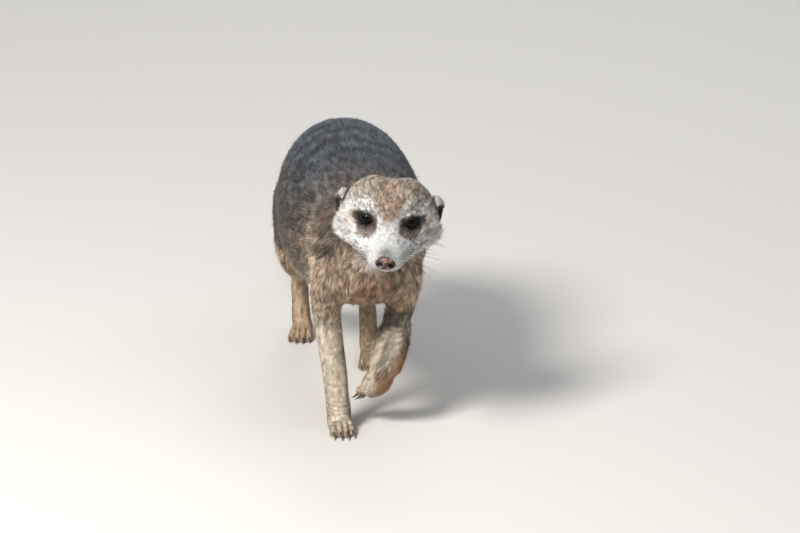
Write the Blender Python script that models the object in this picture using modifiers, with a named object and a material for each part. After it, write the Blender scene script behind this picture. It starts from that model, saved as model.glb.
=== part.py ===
"""A meerkat at life size, walking, as separate faceted solids.

Millimetres in the tables, metres in the meshes.  +X is the animal's left, +Y its rear, +Z up.
The body is lofted from cross-sections, made one by a voxel remesh, simplified, and parted by
thin round cuts at the places where a person would name its parts.  The outer surface is the
outline of the coat, so the skin of a finished model lies inside it.
"""

import math

import bmesh
import bpy
import numpy as np
from mathutils import Matrix, Vector

MM = 0.001
GAP = 0.35  # between two solids that meet
SIDES = 28  # points round a cross-section
CLAW_SIDES = 6
VOXEL = 0.9
SMOOTHING = 8
BODY_TRIANGLES = 3860
FLOOR_DEPTH = 30.0
FLOOR_LEVEL = 0.6  # the soles and the tail's end are flattened to this height

# ---------------------------------------------------------------------------------------
# Trunk: y, top, widest, bottom, half-width.  The back is arched and the belly is full.
TRUNK = [
    (-14, 119, 103, 89, 17),
    (-6, 132, 104, 83, 27),
    (8, 141, 106, 76, 33),
    (30, 147, 107, 70.5, 38),
    (60, 152.5, 106, 64, 44),
    (90, 157, 105, 61, 46.5),
    (118, 159.3, 106, 65, 46),
    (140, 157.5, 109, 74, 42.5),
    (160, 150.5, 112, 84, 35),
    (176, 139.5, 114, 94, 25),
    (188, 129, 116, 103, 14.5),
]
TRUNK_ROUND = (2.05, 2.25)  # superellipse power above and below the widest line
TRUNK_CAPS = (5, 4)
TRUNK_X = 1.0

# Neck: centre, half-width, above, below, square to its own path.
NECK = [
    ((9.5, -14, 132), 22, 13, 20),
    ((10, -3, 129), 25, 18, 25),
    ((8.5, 9, 124.5), 29.5, 23.5, 29),
    ((5, 20, 119), 33, 27, 33),
    ((2, 34, 112), 34, 28, 33),
]

# Head, in its own frame: the origin is midway between the fronts of the eyes, -Y to the nose.
HEAD_AT = Vector((8.2, -32.0, 141.1))
HEAD_YAW, HEAD_PITCH, HEAD_ROLL = -8.5, 7.0, 5.0
# y, top, widest, bottom, half-width, power above, power below
HEAD = [
    (-31.5, -10.6, -13.0, -15.8, 4.0, 2.0, 2.0),
    (-29.5, -9.2, -13.4, -17.8, 7.0, 2.2, 2.2),
    (-25.5, -7.4, -14.0, -20.6, 9.4, 2.2, 2.2),
    (-20.0, -4.6, -14.2, -23.0, 11.4, 2.1, 2.2),
    (-14.5, -0.8, -13.6, -25.0, 13.8, 1.9, 2.1),
    (-9.0, 3.8, -12.6, -26.4, 16.8, 1.7, 2.0),
    (-4.5, 8.4, -11.2, -27.4, 19.8, 1.6, 1.9),
    (0.0, 12.8, -9.8, -28.4, 23.0, 1.7, 1.8),
    (5.0, 16.8, -8.6, -29.2, 26.2, 2.0, 1.75),
    (10.0, 19.8, -7.6, -29.6, 28.4, 2.4, 1.75),
    (16.0, 21.4, -6.8, -29.4, 29.4, 2.7, 1.8),
    (22.0, 21.2, -6.2, -28.2, 29.0, 2.8, 1.9),
    (29.0, 18.6, -5.8, -26.0, 26.8, 2.7, 2.0),
    (37.0, 13.4, -6.0, -23.0, 23.0, 2.3, 2.1),
    (44.0, 7.0, -5.0, -18.0, 16.5, 2.0, 2.0),
]
HEAD_CAPS = (1.2, 5)
# Forms on both sides of the head: centre, reach, height (negative is a hollow).
HEAD_FORMS = {
    "brow": ((13.5, 1.0, 10.0), 5.5, 1.5),
    "eye socket": ((14.0, -3.0, 1.4), 5.5, -2.6),
    "cheek": ((27.5, 9.0, -8.5), 10.0, 3.0),
    "cheekbone": ((19.5, 4.0, -8.0), 7.0, 0.9),
    "temple": ((11.5, 16.0, 20.0), 7.0, 1.9),
    "parting of the crown": ((0.0, 22.0, 21.0), 6.0, -0.6),
    "whisker pad": ((7.6, -24.0, -15.0), 4.5, 1.3),
    "side of the bridge": ((7.6, -11.0, -3.5), 5.0, -1.0),
    "corner of the mouth": ((12.5, -12.5, -20.5), 4.0, -1.0),
}
# An eye looks out along a line through this point; its front stands proud of the coat by this.
EYE_THROUGH, EYE_LOOKS = (13.2, 0.3, 1.8), (0.5, -0.86, 0.08)
EYE_RADIUS, EYE_PROUD = 5.3, 1.7
NOSE_AT, NOSE_HALF = (0.0, -30.2, -13.0), (5.1, 3.2, 3.7)
EAR_AT, EAR_HALF = (28.2, 22.0, 0.3), (4.6, 7.4, 9.6)
EAR_HOLLOW_AT, EAR_HOLLOW_HALF = (31.6, 18.0, -0.2), (4.6, 6.6, 7.4)

# Limbs: centre, half-width across, behind, in front; each runs down into a paw.
RIGHT_FORELEG = [
    ((-20, 6, 112), 14, 16, 16),
    ((-24, 2, 99), 11.5, 14, 14),
    ((-25, 9, 82), 10, 13, 12),
    ((-23.8, 15, 66), 8.8, 10, 9.5),
    ((-22.5, 12, 55), 8.1, 8.4, 8.4),
    ((-20.6, 7, 38), 7.8, 7.8, 7.8),
    ((-19.0, 3, 20), 7.4, 7.4, 7.2),
    ((-18.4, -1, 10), 7.4, 7.0, 7.0),
]
LEFT_FORELEG = [
    ((19, 8, 110), 14, 16, 16),
    ((23.5, 8, 97), 11.5, 14, 14),
    ((23.6, 20, 80), 10, 13, 12),
    ((22.4, 31, 65), 8.6, 9.5, 9),
    ((19.5, 18, 57.5), 8.4, 8.4, 8.4),
    ((15.1, 1, 49), 8.2, 8.2, 8.2),
    ((12.3, -5.5, 43), 8.0, 7.4, 7.4),
    ((7.6, -0.8, 36), 7.8, 6.4, 6.4),
]
RIGHT_HINDLEG = [
    ((-10, 151, 124), 13, 22, 18),
    ((-25.5, 148, 105), 16.8, 28, 24),
    ((-29.5, 145, 87), 14.2, 25, 20),
    ((-29.5, 143, 71), 11.8, 18.5, 14.5),
    ((-27.2, 155, 60), 9.2, 12.5, 11.5),
    ((-23.2, 176, 47), 6.9, 8.4, 7.8),
    ((-20.8, 191, 37), 5.6, 6.8, 6),
    ((-20.2, 191, 22), 5.4, 5.8, 5.4),
    ((-20.2, 186, 10), 6.2, 6, 5.6),
]
LEFT_HINDLEG = [
    ((12, 150, 124), 13, 22, 18),
    ((26, 144, 105), 16.8, 28, 24),
    ((29.5, 131, 87), 14.2, 26, 20),
    ((29, 119, 71), 11.8, 18.5, 14.5),
    ((25.9, 125, 60), 9.2, 12.5, 11.5),
    ((20.2, 139, 47), 7.0, 8.4, 7.8),
    ((17.4, 147, 37), 5.8, 6.8, 6),
    ((16.6, 138, 22), 5.6, 5.8, 5.6),
    ((16.0, 127, 10), 6.4, 6, 5.8),
]
LIMB_CAPS = (6, 5)

# Paws: where the foot's middle is, the way its toes point, its length, half-width and
# half-height.  The lifted paw hangs from its wrist, with the toes down and in.
DOWN = (0, 0, -1)
PAWS = {
    "forepaw_right": dict(
        at=(-18.4, -6, 5.4), to=(0.06, -1, 0), sole=DOWN, size=(8.5, 7.6, 5.6), claw=8.5
    ),
    "forepaw_left": dict(
        at=(4.9, 2.4, 28),
        to=(-0.40, 0.34, -0.85),
        sole=(-0.45, 0.7, 0.55),
        size=(9.5, 9.4, 7.3),
        claw=8,
    ),
    "hindfoot_right": dict(
        at=(-20.8, 179, 5.0), to=(-0.22, -1, 0), sole=DOWN, size=(10, 6.8, 5.2), claw=6
    ),
    "hindfoot_left": dict(
        at=(15.6, 119, 5.0), to=(-0.08, -1, 0), sole=DOWN, size=(10, 6.8, 5.2), claw=6
    ),
}
TOE = 8.0  # length of a toe
TOE_SPREAD = (-5.4, -1.85, 1.85, 5.4)  # four toes, across the paw
TOE_FORWARD = (-1.6, 0.6, 0.6, -1.6)  # the middle two reach further
TOE_HALF = (2.45, 2.7)
CLAW_ROOT = 1.15
CLAW_HOOK = 0.32  # how far a claw's tip drops, as a share of its length

# Tail: centre, radius.  It falls behind the rump and its end lies on the floor.
TAIL = [
    ((1, 176, 118), 15),
    ((1, 190, 113), 12),
    ((1, 206, 98), 9.4),
    ((0.5, 222, 76), 8.0),
    ((-0.5, 241, 53), 7.2),
    ((-2, 265, 32), 6.6),
    ((-4, 295, 16), 6.1),
    ((-6, 328, 8), 5.7),
    ((-8, 355, 5), 5.2),
    ((-9.5, 372, 4.2), 4.2),
]
TAIL_CAPS = (4, 8)

# Cuts that part the body: a point, the way across the cut, and how far it reaches.
CUTS = [
    ("head", (11.5, -3, 134), (-0.08, 0.86, -0.5), 42),
    ("neck", (5.5, 12, 121), (-0.1, 0.75, -0.66), 48),
    ("tail from rump", (1, 198, 106), (0, 0.72, -0.69), 20),
    ("tail third", (-0.7, 245, 49), (-0.05, 0.72, -0.69), 14),
    ("tail end", (-5.2, 313, 11), (-0.06, 0.96, -0.27), 14),
    ("right foreleg", (-24.5, 12.5, 73), (-0.34, 0.1, -0.93), 15),
    ("left foreleg", (22.7, 26, 69.5), (0.34, 0.15, -0.93), 15),
    ("right elbow", (-23.2, 13.5, 60), (0.1, -0.3, -0.95), 15),
    ("left elbow", (18.4, 13.5, 55.3), (-0.25, -0.9, -0.36), 11),
    ("right wrist", (-18.9, 2.4, 18), (0.1, -0.25, -0.96), 12),
    ("left wrist", (13.1, -3.4, 44.2), (-0.45, 0, -0.89), 12.5),
    ("right thigh", (-30, 148, 74), (-0.4, 0.2, -0.89), 25),
    ("left thigh", (29.5, 129, 72), (0.4, 0.12, -0.89), 32),
    ("right knee", (-27, 155.5, 60), (0.1, 0.8, -0.6), 15),
    ("left knee", (23.2, 130, 54.8), (-0.25, 0.8, -0.54), 12.2),
    ("right hock", (-20.6, 191.4, 31), (0, 0.1, -0.99), 12),
    ("left hock", (17.1, 143.5, 31), (-0.1, -0.5, -0.86), 12),
]
# A point inside each part, by which the pieces are named once they are parted.
PARTS = {
    "head": (9, -20, 138),
    "neck": (8, 6, 127),
    "trunk": (0, 90, 108),
    "tail_base": (0, 224, 74),
    "tail_middle": (-3, 280, 22),
    "tail_tip": (-8.5, 352, 5),
    "foreleg_right_upper": (-24.0, 14, 67),
    "foreleg_right_lower": (-20.6, 7, 38),
    "forepaw_right": (-18.6, -3, 8),
    "foreleg_left_upper": (22.7, 30, 66),
    "foreleg_left_lower": (16.8, 8, 52.5),
    "forepaw_left": (5, -2, 28),
    "hindleg_right_thigh": (-29.5, 140, 68),
    "hindleg_right_shank": (-24, 172, 50),
    "hindfoot_right": (-20.2, 188, 15),
    "hindleg_left_thigh": (28.6, 116, 63),
    "hindleg_left_shank": (21, 137, 49),
    "hindfoot_left": (16.3, 131, 14),
}

COLOURS = {
    "coat": ((0.50, 0.40, 0.28, 1), 0.85),
    "dark coat": ((0.10, 0.08, 0.06, 1), 0.85),
    "pale coat": ((0.72, 0.64, 0.50, 1), 0.85),
    "ear": ((0.03, 0.025, 0.02, 1), 0.8),
    "eye": ((0.02, 0.012, 0.008, 1), 0.08),
    "nose": ((0.30, 0.16, 0.11, 1), 0.45),
}
# What the names of the parts that aren't plain coat start with.
FINISHES = {
    "ear": "ear",
    "eye": "eye",
    "nose": "nose",
    "tail_tip": "dark coat",
    "fore": "pale coat",
}


# ---------------------------------------------------------------------------------------
def clear_scene():
    for obj in list(bpy.data.objects):
        bpy.data.objects.remove(obj, do_unlink=True)


def new_object(name, mesh, collection):
    obj = bpy.data.objects.new(name, mesh)
    collection.objects.link(obj)
    return obj


def material(name):
    found = bpy.data.materials.get(name)
    if found:
        return found
    colour, roughness = COLOURS[name]
    made = bpy.data.materials.new(name)
    made.use_nodes = True
    shader = made.node_tree.nodes["Principled BSDF"]
    shader.inputs["Base Color"].default_value = colour
    shader.inputs["Roughness"].default_value = roughness
    shader.inputs["Metallic"].default_value = 0.0
    return made


def head_matrix():
    turn = Matrix.Rotation(math.radians(HEAD_YAW), 4, "Z")
    turn = turn @ Matrix.Rotation(math.radians(HEAD_PITCH), 4, "X")
    turn = turn @ Matrix.Rotation(math.radians(HEAD_ROLL), 4, "Y")
    return Matrix.Translation(HEAD_AT) @ turn


def in_metres(matrix):
    """A matrix of millimetres made to work on metres."""
    return Matrix.Diagonal((MM, MM, MM, 1)) @ matrix @ Matrix.Diagonal((1 / MM, 1 / MM, 1 / MM, 1))


def smooth_through(values, per_span):
    """Rows of values, with per_span steps of a Catmull-Rom curve between each two."""
    rows = np.asarray(values, float)
    steps = np.linalg.norm(np.diff(rows[:, :3], axis=0), axis=1)
    at = np.concatenate([[0], np.cumsum(steps)])
    slopes = np.gradient(rows, at, axis=0)
    found = [rows[0]]
    for i, step in enumerate(steps):
        for t in np.linspace(0, 1, per_span + 1)[1:]:
            a = (1 + 2 * t) * (1 - t) ** 2 * rows[i] + t * t * (3 - 2 * t) * rows[i + 1]
            b = t * (1 - t) ** 2 * slopes[i] - t * t * (1 - t) * slopes[i + 1]
            found.append(a + step * b)
    return np.array(found)


def ring(centre, side, up, half, above, below, power_up, power_down, sides=SIDES):
    """A closed cross-section: half a superellipse above its widest line, half another below."""
    points = []
    for k in range(sides):
        angle = 2 * math.pi * k / sides
        c, s = math.cos(angle), math.sin(angle)
        power = 2 / (power_up if s >= 0 else power_down)
        across = math.copysign(abs(c) ** power, c) * half
        rise = math.copysign(abs(s) ** power, s) * (above if s >= 0 else below)
        points.append(centre + side * across + up * rise)
    return points


def capped(rows, depths, steps=4):
    """Rows with rounded ends added: shrinking sections, pushed out by up to each end's depth."""
    ends = []
    for row, towards, depth in ((rows[0], rows[1], depths[0]), (rows[-1], rows[-2], depths[1])):
        out = row[:3] - towards[:3]
        out = out / np.linalg.norm(out)
        made = []
        for k in range(1, steps + 1):
            angle = math.pi / 2 * k / (steps + 0.35)
            shrunk = row.copy()
            shrunk[:3] += out * depth * math.sin(angle)
            shrunk[3:6] *= math.cos(angle)
            made.append(shrunk)
        ends.append(made)
    return np.array(ends[0][::-1] + list(rows) + ends[1])


def loft(rows, across=None, upright=False, sides=SIDES):
    """A closed mesh through rows of centre, half-width, above, below and two powers.
    across is the sideways direction; the sections stand square to the path, or upright."""
    centres = rows[:, :3]
    tangents = np.gradient(centres, axis=0)
    across = Vector(across or (1, 0, 0))
    bm = bmesh.new()
    rings = []
    for centre, tangent, row in zip(centres, tangents, rows):
        along = Vector((0, 1, 0)) if upright else Vector(tangent).normalized()
        side = (across - along * across.dot(along)).normalized()
        up = side.cross(along)
        points = ring(Vector(centre), side, up, *row[3:8], sides=sides)
        rings.append([bm.verts.new(p * MM) for p in points])
    for a, b in zip(rings, rings[1:]):
        for k in range(sides):
            n = (k + 1) % sides
            bm.faces.new((a[k], a[n], b[n], b[k]))
    bm.faces.new(rings[0][::-1])
    bm.faces.new(rings[-1])
    bmesh.ops.recalc_face_normals(bm, faces=bm.faces)
    return bm


def level_rows(stations, powers=None, x=0.0):
    """Rows for a loft along Y from stations of y, top, widest, bottom, half-width and powers."""
    return [
        (x, y, widest, half, top - widest, widest - bottom, *(rest or powers))
        for y, top, widest, bottom, half, *rest in stations
    ]


def path_rows(stations, power=2.1):
    """Rows for a loft along its own path from stations of centre, half-width, above, below."""
    return [(*centre, half, above, below, power, power) for centre, half, above, below in stations]


def shape_head(bm):
    """Raises the brows, temples and whisker pads and hollows the eye sockets, on both sides."""
    bm.normal_update()
    moves = []
    for vert in bm.verts:
        point = vert.co / MM
        lift = 0.0
        for (x, y, z), reach, height in HEAD_FORMS.values():
            for side in (-1, 1):
                distance = (point - Vector((side * x, y, z))).length
                lift += height * math.exp(-((distance / reach) ** 2))
        moves.append(vert.normal * lift * MM)
    for vert, move in zip(bm.verts, moves):
        vert.co += move


def paw_frame(paw):
    """(forward, across, sole) directions of a paw, square to each other."""
    forward = Vector(paw["to"]).normalized()
    sole = Vector(paw["sole"])
    sole = (sole - forward * sole.dot(forward)).normalized()
    return forward, sole.cross(forward), sole


def paw_lofts(paw):
    """The pad of a paw and its four toes."""
    forward, across, sole = paw_frame(paw)
    length, half, height = paw["size"]
    centre = Vector(paw["at"])
    pad = [
        (*(centre - forward * length * 0.9), half * 0.88, height * 0.95, height * 0.95, 2.2, 2.2),
        (*centre, half, height, height, 2.4, 2.4),
        (*(centre + forward * length * 0.6), half * 0.95, height * 0.75, height * 0.75, 2.4, 2.4),
    ]
    made = [loft(capped(smooth_through(pad, 3), (3, 3)), across=across)]
    for spread, reach in zip(TOE_SPREAD, TOE_FORWARD):
        root = centre + forward * (length * 0.35 + reach)
        root = root + across * spread * 0.86 + sole * height * 0.25
        tip = root + forward * TOE + across * spread * 0.22 + sole * height * 0.32
        knuckle = (root + tip) / 2 - sole * 0.9
        half, thick = TOE_HALF
        rows = [(*p, half, thick, thick, 2.2, 2.2) for p in (root, knuckle, tip)]
        made.append(loft(capped(smooth_through(rows, 3), (2, 2.2)), across=across, sides=14))
    return made


def claw_lofts(paw):
    """Four curved claws, each from inside the end of its toe to a point."""
    forward, across, sole = paw_frame(paw)
    length, _, height = paw["size"]
    centre = Vector(paw["at"])
    made = []
    for spread, reach in zip(TOE_SPREAD, TOE_FORWARD):
        tip = centre + forward * (length * 0.35 + reach + TOE)
        tip = tip + across * spread * 1.08 + sole * (height * 0.57 - 1.1)
        rows = []
        for share in (-0.12, 0.3, 0.65, 1.0):
            drop = CLAW_HOOK * paw["claw"] * max(share, 0) ** 2
            at = tip + forward * paw["claw"] * share + sole * drop + across * spread * 0.1 * share
            radius = CLAW_ROOT * (1 - 0.78 * max(share, 0) ** 1.4)
            rows.append((*at, radius * 0.8, radius, radius, 2, 2))
        made.append(loft(np.array(rows), across=across, sides=CLAW_SIDES))
    return made


def joined(lofts, name, collection):
    """One object of several closed meshes, which may overlap."""
    mesh = bpy.data.meshes.new(name)
    whole = bmesh.new()
    for bm in lofts:
        part = bpy.data.meshes.new("part")
        bm.to_mesh(part)
        bm.free()
        whole.from_mesh(part)
        bpy.data.meshes.remove(part)
    whole.to_mesh(mesh)
    whole.free()
    return new_object(name, mesh, collection)


def baked(obj):
    """The object's modifiers applied to its mesh."""
    graph = bpy.context.evaluated_depsgraph_get()
    mesh = bpy.data.meshes.new_from_object(obj.evaluated_get(graph), depsgraph=graph)
    obj.modifiers.clear()
    old = obj.data
    obj.data = mesh
    bpy.data.meshes.remove(old)
    return obj


def cut(obj, cutter, operation="DIFFERENCE"):
    """Applies a Boolean of one object, or of every object in a collection."""
    modifier = obj.modifiers.new("cut", "BOOLEAN")
    modifier.operation = operation
    modifier.solver = "EXACT"
    if isinstance(cutter, bpy.types.Collection):
        modifier.operand_type = "COLLECTION"
        modifier.collection = cutter
    else:
        modifier.object = cutter
    return baked(obj)


def helper(obj):
    obj.hide_render = True
    obj.display_type = "WIRE"
    return obj


def ellipsoid(name, at, half, frame, collection, grow=0.0, segments=20, rings=12):
    """An ellipsoid in the head's frame."""
    bm = bmesh.new()
    bmesh.ops.create_uvsphere(bm, u_segments=segments, v_segments=rings, radius=1.0)
    size = Matrix.Diagonal([(h + grow) * MM for h in half] + [1])
    place = in_metres(frame @ Matrix.Translation(at))
    bmesh.ops.transform(bm, matrix=place @ size, verts=bm.verts)
    mesh = bpy.data.meshes.new(name)
    bm.to_mesh(mesh)
    bm.free()
    return new_object(name, mesh, collection)


def disc(name, at, normal, radius, collection):
    """A thin round cutter that parts what it crosses."""
    bm = bmesh.new()
    bmesh.ops.create_cone(
        bm, cap_ends=True, segments=32, radius1=radius * MM, radius2=radius * MM, depth=GAP * MM
    )
    turn = Vector(normal).to_track_quat("Z", "Y").to_matrix().to_4x4()
    bmesh.ops.transform(bm, matrix=Matrix.Translation(Vector(at) * MM) @ turn, verts=bm.verts)
    mesh = bpy.data.meshes.new(name)
    bm.to_mesh(mesh)
    bm.free()
    return helper(new_object(name, mesh, collection))


def body_lofts():
    trunk_rows = smooth_through(level_rows(TRUNK, TRUNK_ROUND, TRUNK_X), 4)
    trunk = loft(capped(trunk_rows, TRUNK_CAPS), upright=True)
    neck = loft(capped(smooth_through(path_rows(NECK), 4), (4, 4)))
    head_rows = smooth_through(level_rows(HEAD), 4)
    head = loft(capped(head_rows, HEAD_CAPS), upright=True, sides=48)
    shape_head(head)
    bmesh.ops.transform(head, matrix=in_metres(head_matrix()), verts=head.verts)
    tail_rows = [(*centre, r, r, r, 2, 2) for centre, r in TAIL]
    tail = loft(capped(smooth_through(tail_rows, 4), TAIL_CAPS), sides=20)
    made = [trunk, neck, head, tail]
    for leg in (RIGHT_FORELEG, LEFT_FORELEG, RIGHT_HINDLEG, LEFT_HINDLEG):
        made.append(loft(capped(smooth_through(path_rows(leg), 4), LIMB_CAPS), sides=24))
    for paw in PAWS.values():
        made += paw_lofts(paw)
    return made


def make_body(collection):
    """The whole animal as one closed surface, without its claws, ears, eyes and nose."""
    body = joined(body_lofts(), "body", collection)
    remesh = body.modifiers.new("one surface", "REMESH")
    remesh.mode = "VOXEL"
    remesh.voxel_size = VOXEL * MM
    smooth = body.modifiers.new("soft creases", "SMOOTH")
    smooth.factor = 0.5
    smooth.iterations = SMOOTHING
    baked(body)
    body.data.calc_loop_triangles()
    fewer = body.modifiers.new("fewer facets", "DECIMATE")
    fewer.ratio = BODY_TRIANGLES / len(body.data.loop_triangles)
    fewer.use_collapse_triangulate = True
    return baked(body)


def make_floor(collection):
    bm = bmesh.new()
    bmesh.ops.create_cube(bm, size=1.0)
    size = Matrix.Diagonal((0.4, 1.0, FLOOR_DEPTH * MM, 1))
    at = Matrix.Translation((0, 150 * MM, (FLOOR_LEVEL - FLOOR_DEPTH / 2) * MM))
    bmesh.ops.transform(bm, matrix=at @ size, verts=bm.verts)
    mesh = bpy.data.meshes.new("floor")
    bm.to_mesh(mesh)
    bm.free()
    return helper(new_object("floor", mesh, collection))


def add_claws(body, cutters):
    claws = [bm for paw in PAWS.values() for bm in claw_lofts(paw)]
    for number, bm in enumerate(claws):
        claw = helper(joined([bm], f"claw {number}", cutters))
        cut(body, claw, "UNION")
        bpy.data.objects.remove(claw, do_unlink=True)


def part_body(body, cutters, collection):
    """Parts the body by the thin cuts and names each piece by the point that it holds."""
    slabs = bpy.data.collections.new("slabs")
    cutters.children.link(slabs)
    for name, at, normal, radius in CUTS:
        disc(f"cut {name}", at, normal, radius, slabs)
    cut(body, slabs)
    bpy.context.view_layer.objects.active = body
    body.select_set(True)
    bpy.ops.mesh.separate(type="LOOSE")
    pieces = [obj for obj in collection.objects if obj.name.startswith("body")]
    if len(pieces) != len(PARTS):
        raise ValueError(f"the cuts leave {len(pieces)} pieces, not {len(PARTS)}")
    for name, point in PARTS.items():
        held = [piece for piece in pieces if holds(piece, Vector(point) * MM)]
        if len(held) != 1:
            raise ValueError(f"{len(held)} pieces hold the point of {name}")
        held[0].name = name
        held[0].data.name = name


def holds(obj, point):
    """Whether a closed mesh holds a point: a ray from it leaves an odd number of times."""
    way, at, leaves = Vector((0.31, 0.17, 0.93)).normalized(), point, 0
    while True:
        found, hit, _, _ = obj.ray_cast(at, way)
        if not found:
            return leaves % 2 == 1
        leaves += 1
        at = hit + way * 1e-6


def grown(obj, by, collection):
    """A helper copy of a piece, pushed out all over."""
    copy = helper(new_object(obj.name + " grown", obj.data.copy(), collection))
    push = copy.modifiers.new("push", "DISPLACE")
    push.strength = by * MM
    push.mid_level = 0.0
    return baked(copy)


def eye_centre(head, frame, side):
    """Where an eye's middle is, in the head's frame, for its front to stand just proud."""
    looks = Vector((side * EYE_LOOKS[0], *EYE_LOOKS[1:])).normalized()
    through = Vector((side * EYE_THROUGH[0], *EYE_THROUGH[1:]))
    start = frame @ (through + looks * 40) * MM
    found, hit, _, _ = head.ray_cast(start, -(frame.to_3x3() @ looks))
    if not found:
        raise ValueError("an eye's line misses the head")
    return frame.inverted() @ (hit / MM) - looks * (EYE_RADIUS - EYE_PROUD)


def fit_face(cutters, collection):
    """Eyes, nose pad and ears, with room for each in or beside the head."""
    head = bpy.data.objects["head"]
    frame = head_matrix()
    centres = {word: eye_centre(head, frame, side) for side, word in ((1, "left"), (-1, "right"))}
    around = [grown(bpy.data.objects[name], GAP, cutters) for name in ("head", "neck")]
    room = ellipsoid("nose room", NOSE_AT, NOSE_HALF, frame, cutters, grow=GAP)
    cut(head, helper(room))
    ellipsoid("nose", NOSE_AT, NOSE_HALF, frame, collection, segments=14, rings=8)
    for side, word in ((1, "left"), (-1, "right")):
        half = (EYE_RADIUS,) * 3
        socket = ellipsoid("socket", centres[word], half, frame, cutters, grow=GAP, segments=16)
        cut(head, helper(socket))
        ellipsoid(f"eye_{word}", centres[word], half, frame, collection, segments=14, rings=9)
        mirror = Matrix.Diagonal((side, 1, 1, 1))
        at, hollow_at = mirror @ Vector(EAR_AT), mirror @ Vector(EAR_HOLLOW_AT)
        ear = ellipsoid(f"ear_{word}", at, EAR_HALF, frame, collection, segments=14, rings=9)
        hollow = ellipsoid("hollow", hollow_at, EAR_HOLLOW_HALF, frame, cutters)
        cut(ear, helper(hollow))
        for outside in around:
            cut(ear, outside)


def finish(collection):
    """Materials, smooth shading and the object's place: the middle of its box over the origin."""
    bpy.context.view_layer.update()
    corners = np.array([v.co for obj in collection.objects for v in obj.data.vertices])
    low, high = corners.min(axis=0), corners.max(axis=0)
    shift = Vector((-(low[0] + high[0]) / 2, -(low[1] + high[1]) / 2, -low[2]))
    for obj in collection.objects:
        obj.data.transform(Matrix.Translation(shift))
        obj.data.shade_smooth()
        obj.data.set_sharp_from_angle(angle=math.radians(50))
        obj.data.materials.clear()
        kinds = [kind for start, kind in FINISHES.items() if obj.name.startswith(start)]
        obj.data.materials.append(material(kinds[0] if kinds else "coat"))


def main():
    clear_scene()
    collection = bpy.data.collections.new("meerkat")
    cutters = bpy.data.collections.new("cutters")
    for made in (collection, cutters):
        bpy.context.scene.collection.children.link(made)
    body = make_body(collection)
    add_claws(body, cutters)
    cut(body, make_floor(cutters))
    part_body(body, cutters, collection)
    fit_face(cutters, collection)
    finish(collection)


main()
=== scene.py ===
"""A walking meerkat: skin, coat, eyes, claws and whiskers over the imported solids.

Lengths are millimetres until a mesh is made.  +X is the animal's left, +Y its rear, +Z up.  The
solids reach to the tips of the hair: the skin lies inside them by the depth of the coat, and the
coat is made of leaf-shaped tufts that lie along it and end near the solids' outline.
"""

import math
from functools import cache
from types import SimpleNamespace

import bpy
import numpy as np
from mathutils import Matrix, Vector
from mathutils.bvhtree import BVHTree


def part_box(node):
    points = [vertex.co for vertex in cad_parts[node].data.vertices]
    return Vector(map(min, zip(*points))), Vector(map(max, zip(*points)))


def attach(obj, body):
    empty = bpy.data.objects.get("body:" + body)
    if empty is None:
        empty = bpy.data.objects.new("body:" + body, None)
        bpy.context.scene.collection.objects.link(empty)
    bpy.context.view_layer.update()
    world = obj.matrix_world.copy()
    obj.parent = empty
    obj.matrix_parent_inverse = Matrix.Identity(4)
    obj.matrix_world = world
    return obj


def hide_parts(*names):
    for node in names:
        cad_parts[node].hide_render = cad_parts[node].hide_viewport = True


MM = 0.001
RNG = np.random.default_rng(7)

# The head's frame, as in the solids: its origin is midway between the fronts of the eyes, and it
# is turned by a yaw, a pitch and a roll in degrees.
HEAD_AT = np.array(Vector((8.2, -32, 141.1)))
HEAD_TURNS = ((-8.5, "Z"), (7, "X"), (5, "Y"))
NOSE_AT, NOSE_HALF = (0, -30.2, -13), (5.1, 3.2, 3.7)
EYE_LOOKS = (0.42, -0.9, 0.08)
EAR_AT = (28.2, 22, 0.3)

# Paws, as in the solids: the middle of the foot, the way the toes point and the way the sole
# faces, half-sizes along, across and through, and the length of a claw.
DOWN = (0, 0, -1)
HIND = dict(sole=DOWN, size=(10, 6.8, 5.2), claw=6)
PAWS = {
    "forepaw_right": dict(at=(-18.4, -6, 5.4), to=(0.06, -1, 0), sole=DOWN, size=(8.5, 7.6, 5.6), claw=8.5),
    "forepaw_left": dict(
        at=(4.9, 2.4, 28), to=(-0.4, 0.34, -0.85), sole=(-0.45, 0.7, 0.55), size=(9.5, 9.4, 7.3), claw=8
    ),
    "hindfoot_right": dict(at=(-20.8, 179, 5), to=(-0.22, -1, 0), **HIND),
    "hindfoot_left": dict(at=(15.6, 119, 5), to=(-0.08, -1, 0), **HIND),
}
TOE = 8  # the length of a toe
TOE_START = 0.35  # where the toes leave the foot, as a share of its half-length
TOE_FAN = 1.08  # how much further apart the toes' tips are than their roots
TOE_SPREAD = (-5.4, -1.85, 1.85, 5.4)
TOE_FORWARD = (-1.6, 0.6, 0.6, -1.6)
TOE_GAPS = [(a + b) / 2 * TOE_FAN for a, b in zip(TOE_SPREAD, TOE_SPREAD[1:])]
CLAW_THICK, CLAW_HOOK, CLAW_SIDES = 1.15, 0.32, 12

# Chains of solids: from the neck to the tail's tip, and from the trunk to each paw.
LEGS = {
    f"{leg}_{side}": (f"{leg}_{side}_{upper}", f"{leg}_{side}_{lower}", f"{foot}_{side}")
    for leg, upper, lower, foot in (
        ("foreleg", "upper", "lower", "forepaw"),
        ("hindleg", "thigh", "shank", "hindfoot"),
    )
    for side in ("right", "left")
}
CHAINS = [("neck", "trunk", "tail_base", "tail_middle", "tail_tip")]
CHAINS += [("trunk", *leg) for leg in LEGS.values()]

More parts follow.
